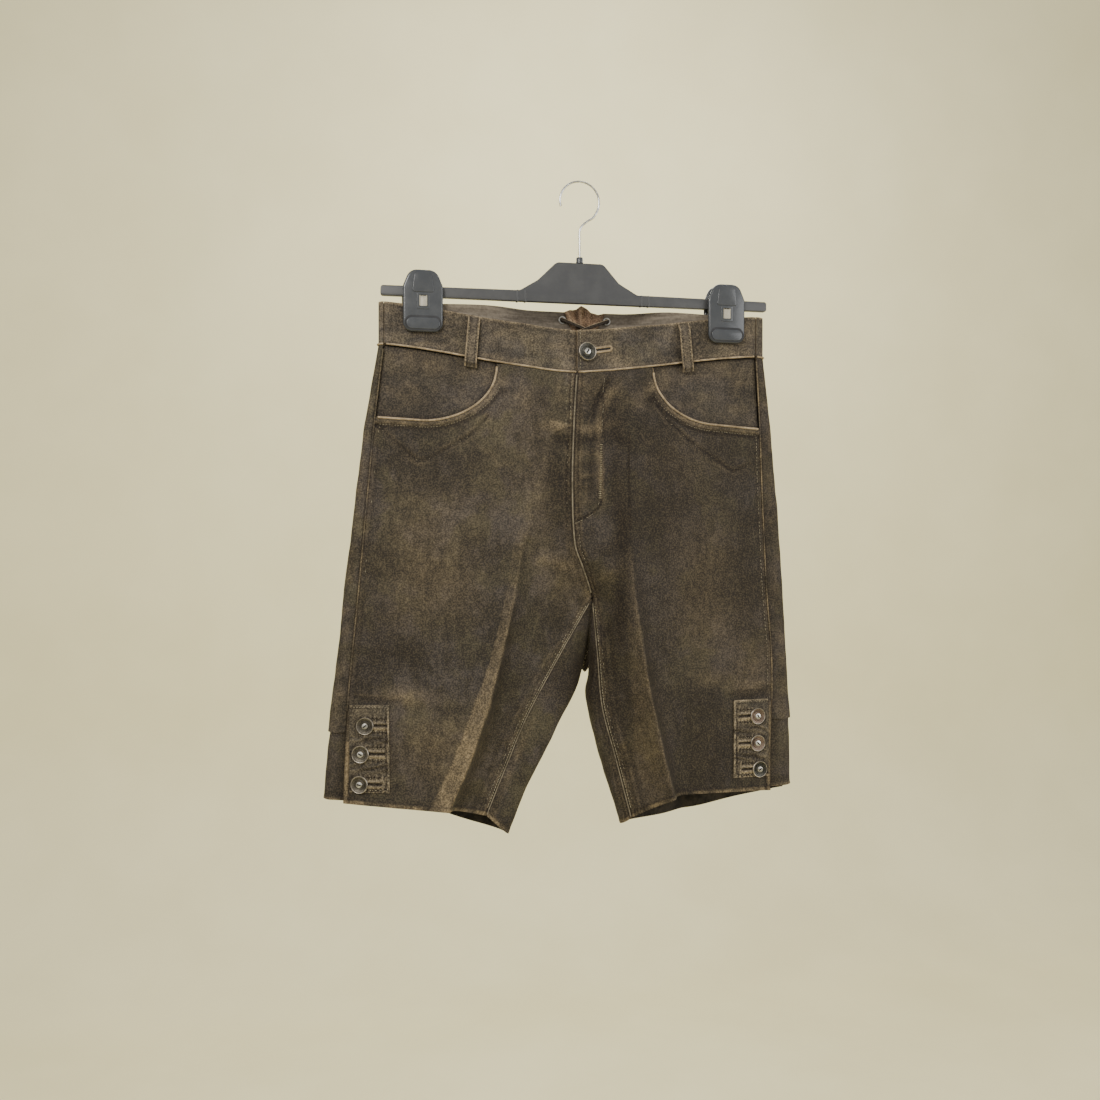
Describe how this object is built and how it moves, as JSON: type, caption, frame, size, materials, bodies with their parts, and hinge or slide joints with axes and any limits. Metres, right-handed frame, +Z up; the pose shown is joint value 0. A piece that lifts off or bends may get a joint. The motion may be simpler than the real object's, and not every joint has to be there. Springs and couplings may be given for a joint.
{
  "type": "lederhosen shorts on a clip hanger",
  "caption": "Short straight leather breeches with buttoned waistband, curved front pockets, pressed creases and buttoned leg vents, hung by the waist from a plastic clip hanger.",
  "frame": {"origin": "the bearing point of the hanger's hook, at the top of the inside of its bend", "axes": "+X along the hanger's bar to the wearer's left, the front of the garment faces -Y, +Z up"},
  "size_m": [0.4987, 0.0845, 0.6818],
  "materials": {
    "dark_leather": "worn waxed suede",
    "leather_edge": "pale raw edge",
    "rust_suede": "soft suede",
    "black_plastic": "semi-gloss",
    "spring_steel": "bright",
    "button": "satin",
    "nickel": "satin"
  },
  "bodies": {
    "root": {"back_gusset": "rust_suede", "back_left_panel": "dark_leather", "back_right_panel": "dark_leather", "band_back_left": "dark_leather", "band_back_right": "dark_leather", "band_front_left": "dark_leather", "band_front_right": "dark_leather", "belt_loop_back_left": "dark_leather", "belt_loop_back_right": "dark_leather", "belt_loop_front_left": "dark_leather", "belt_loop_front_right": "dark_leather", "clip_left_back_jaw": "black_plastic", "clip_left_front_jaw": "black_plastic", "clip_left_spring": "spring_steel", "clip_right_back_jaw": "black_plastic", "clip_right_front_jaw": "black_plastic", "clip_right_spring": "spring_steel", "eyelet_left_lower": "nickel", "eyelet_left_upper": "nickel", "eyelet_right_lower": "nickel", "eyelet_right_upper": "nickel", "front_left_panel": "dark_leather", "front_right_panel": "dark_leather", "hanger_bar": "black_plastic", "hanger_hook": "spring_steel", "hanger_plug": "black_plastic", "lace_inside_left": "rust_suede", "lace_inside_right": "rust_suede", "lace_outside_lower": "rust_suede", "lace_outside_upper": "rust_suede", "leg_button_left_1": "button", "leg_button_left_2": "button", "leg_button_left_3": "button", "leg_button_right_1": "button", "leg_button_right_2": "button", "leg_button_right_3": "button", "pocket_facing_left": "dark_leather", "pocket_facing_right": "dark_leather", "vent_placket_left": "dark_leather", "vent_placket_right": "dark_leather", "vent_underlap_left": "dark_leather", "vent_underlap_right": "dark_leather", "waist_button": "button", "welt_centre_front": "leather_edge", "welt_inseam_left": "leather_edge", "welt_inseam_right": "leather_edge", "welt_pocket_left": "leather_edge", "welt_pocket_right": "leather_edge", "welt_side_left": "leather_edge", "welt_side_right": "leather_edge", "welt_waist_back_left": "leather_edge", "welt_waist_back_right": "leather_edge", "welt_waist_front_left": "leather_edge", "welt_waist_front_right": "leather_edge"}
  },
  "joints": []
}
